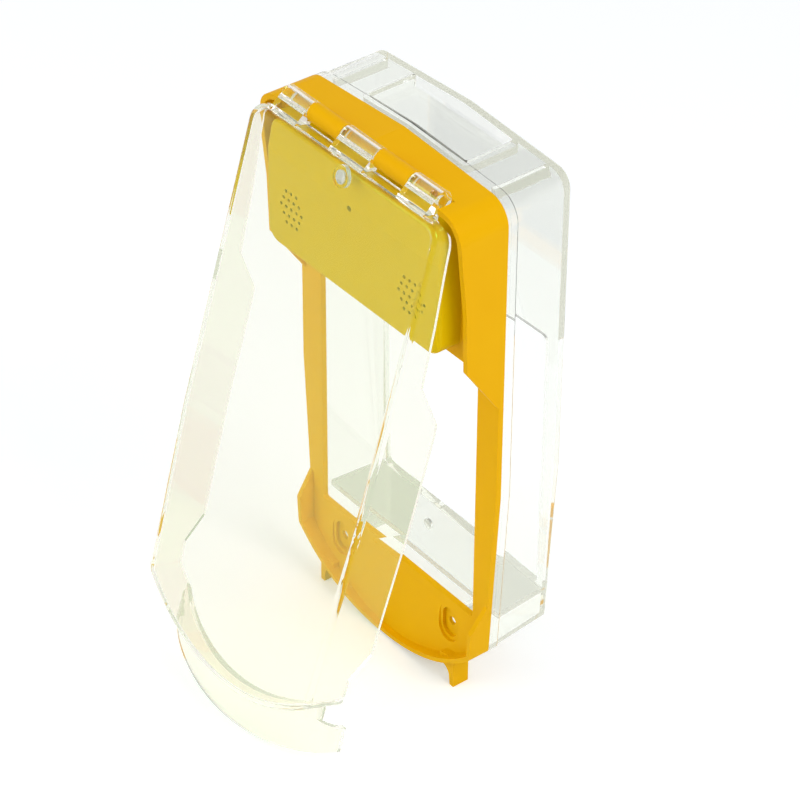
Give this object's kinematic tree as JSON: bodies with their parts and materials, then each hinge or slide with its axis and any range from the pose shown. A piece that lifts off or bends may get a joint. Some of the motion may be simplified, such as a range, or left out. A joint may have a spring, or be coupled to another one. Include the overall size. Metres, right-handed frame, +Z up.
{
  "type": "call point cover",
  "caption": "Clear wall box for a call point with a yellow frame, a built-in sounder behind the frame's hood and a clear lid hinged at the top, shown propped open.",
  "frame": {"origin": "on the wall plane, in the middle of the four wall holes", "axes": "+X to the right seen from the front, +Y back into the wall, +Z up"},
  "size_m": [0.11, 0.1134, 0.2208],
  "materials": {
    "clear_shell": "clear moulded polycarbonate, polished",
    "clear_lid": "clear moulded polycarbonate, polished",
    "clear_rod": "clear plastic rod",
    "yellow_abs": "moulded yellow plastic, satin",
    "foam": "closed-cell foam",
    "magnet": "nickel plated",
    "battery_case": "printed steel case",
    "black_plastic": "moulded black plastic",
    "board": "solder-masked board",
    "red_led": "clear red lens",
    "coil": "ferrite bobbin",
    "can": "sleeved can",
    "switch_white": "moulded plastic",
    "reed_glass": "glass tube",
    "steel": "zinc plated"
  },
  "bodies": {
    "body": {"back_box": "clear_shell", "frame": "yellow_abs", "sounder_housing": "yellow_abs", "hinge_pin": "clear_rod", "battery": "battery_case", "battery_snap": "black_plastic", "battery_pad": "foam", "alarm_back": "black_plastic", "circuit_board": "board", "piezo_sounders": "black_plastic", "indicator_led": "red_led", "control_chip": "black_plastic", "booster_coil": "coil", "capacitor": "can", "setting_switch": "switch_white", "reed_switch": "reed_glass", "alarm_back_screws": "steel", "housing_screws": "steel", "board_screws": "steel"},
    "cover": {"lid": "clear_lid", "lid_magnet": "magnet"}
  },
  "joints": [
    {"name": "cover_hinge", "type": "hinge", "parent": "body", "child": "cover", "pos_m": [0, -0.0459, 0.1202], "axis": [-1, 0, 0], "range_deg": [-16.7, 88]}
  ]
}
